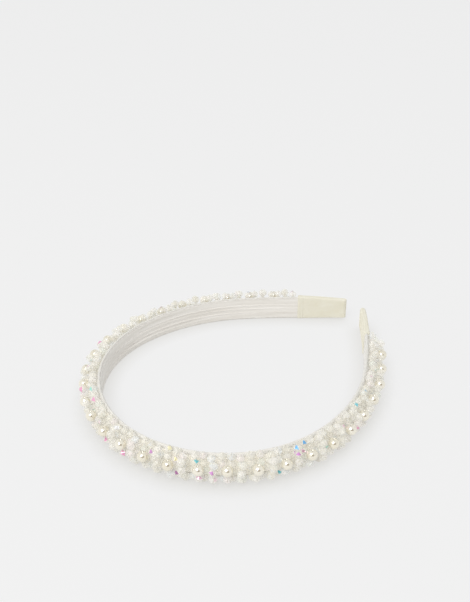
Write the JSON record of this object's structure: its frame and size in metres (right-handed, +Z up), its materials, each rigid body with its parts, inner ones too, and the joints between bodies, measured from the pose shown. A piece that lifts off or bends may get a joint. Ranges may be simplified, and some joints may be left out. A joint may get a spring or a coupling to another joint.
{
  "type": "beaded headband",
  "caption": "Open springy headband lying on its side edge, with a satin inner face, an outer face covered in pearls and faceted beads, and ribbon-wrapped tips.",
  "frame": {"origin": "on the plane the band lies on, in the middle of the plan's bounding box", "axes": "+Z up, across the band's width; +Y from the crown to the two tips; +X to the right arm"},
  "size_m": [0.1331, 0.1541, 0.0144],
  "materials": {
    "strip": "plain spring strip, hidden",
    "satin": "pale satin",
    "tape": "woven tape",
    "pearl": "ivory pearl lacquer",
    "crystal": "faceted, clear and smoky, with coloured flashes",
    "thread": "sewing thread",
    "ribbon": "matte cream ribbon"
  },
  "bodies": {
    "crown": {"crown_core": "strip", "crown_cover": "satin", "crown_tape": "tape", "crown_pearls": "pearl", "crown_crystals": "crystal", "crown_threads": "thread"},
    "left_arm": {"left_core": "strip", "left_cover": "satin", "left_tape": "tape", "left_pearls": "pearl", "left_crystals": "crystal", "left_threads": "thread", "left_wrap": "ribbon"},
    "right_arm": {"right_core": "strip", "right_cover": "satin", "right_tape": "tape", "right_pearls": "pearl", "right_crystals": "crystal", "right_threads": "thread", "right_wrap": "ribbon"}
  },
  "joints": [
    {"name": "left_arm_flex", "type": "hinge", "parent": "crown", "child": "left_arm", "pos_m": [-0.04513, -0.04631, 0.0062], "axis": [0, 0, 1], "range_deg": [0, 20], "stiffness_Nm_per_rad": 0.9},
    {"name": "right_arm_flex", "type": "hinge", "parent": "crown", "child": "right_arm", "pos_m": [0.04513, -0.04631, 0.0062], "axis": [0, 0, -1], "range_deg": [0, 20], "stiffness_Nm_per_rad": 0.9}
  ]
}
